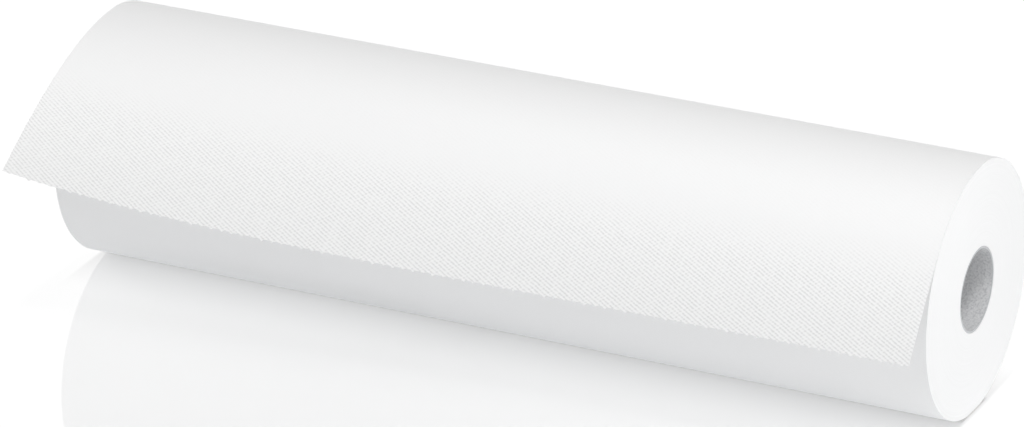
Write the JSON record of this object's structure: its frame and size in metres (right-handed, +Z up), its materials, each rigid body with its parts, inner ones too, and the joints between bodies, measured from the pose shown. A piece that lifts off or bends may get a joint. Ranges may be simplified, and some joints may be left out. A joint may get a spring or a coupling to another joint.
{
  "type": "exam table paper roll",
  "caption": "Roll of embossed white paper wound on a card core, lying on its side with its loose end unrolled to a torn perforated edge.",
  "frame": {"origin": "on the floor, at the middle of the flat spot that the roll rests on, half way along the roll", "axes": "+X along the core, towards the roll's right end as seen from the side where the paper hangs; +Z up; the loose end of the paper hangs on the -Y side"},
  "size_m": [0.5, 0.1911, 0.1363],
  "materials": {
    "paper": "matt, finely embossed",
    "core_card": "grey speckled board, matt"
  },
  "bodies": {
    "root": {"paper_roll": "paper", "core_tube": "core_card"}
  },
  "joints": []
}
